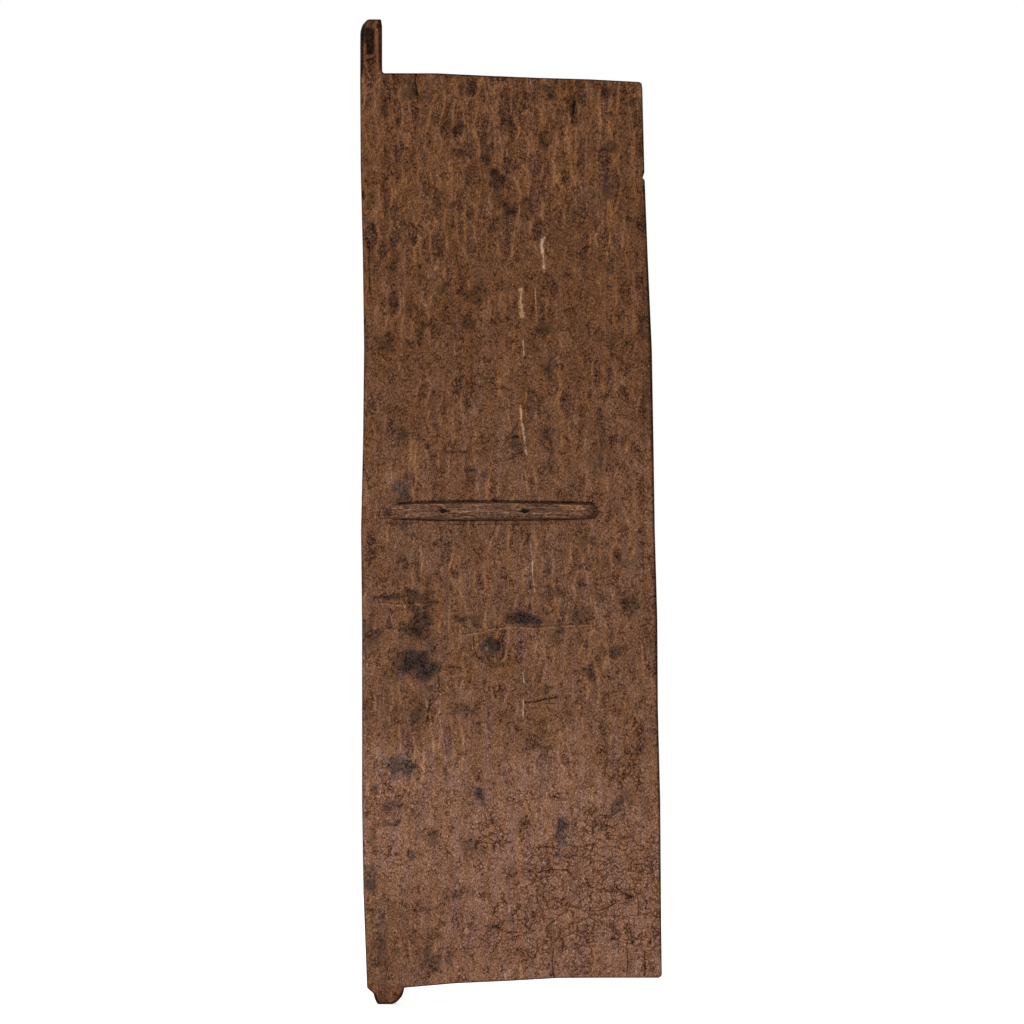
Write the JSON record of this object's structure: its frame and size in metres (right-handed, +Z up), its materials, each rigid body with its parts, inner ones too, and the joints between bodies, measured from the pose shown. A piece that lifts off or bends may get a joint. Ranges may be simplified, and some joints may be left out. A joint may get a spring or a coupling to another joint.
{
  "type": "hewn wooden door leaf",
  "caption": "Rectangular plank door leaf hewn in one with a tall upper pivot and a short worn lower pivot, with a low wooden batten nailed across it.",
  "frame": {"origin": "on the worn foot of the lower pivot, under the pivot's own middle", "axes": "+X along the leaf towards its free edge, +Z up, -Y out of the face that carries the batten"},
  "size_m": [0.5737, 0.051, 1.8725],
  "materials": {
    "leaf_wood": "adzed, weathered brown wood with dark stains and fine checks",
    "batten_wood": "worn brown wood with lengthwise grain",
    "nail_iron": "dark forged iron"
  },
  "bodies": {
    "root": {"leaf": "leaf_wood", "cross_batten": "batten_wood", "batten_nails": "nail_iron"}
  },
  "joints": []
}
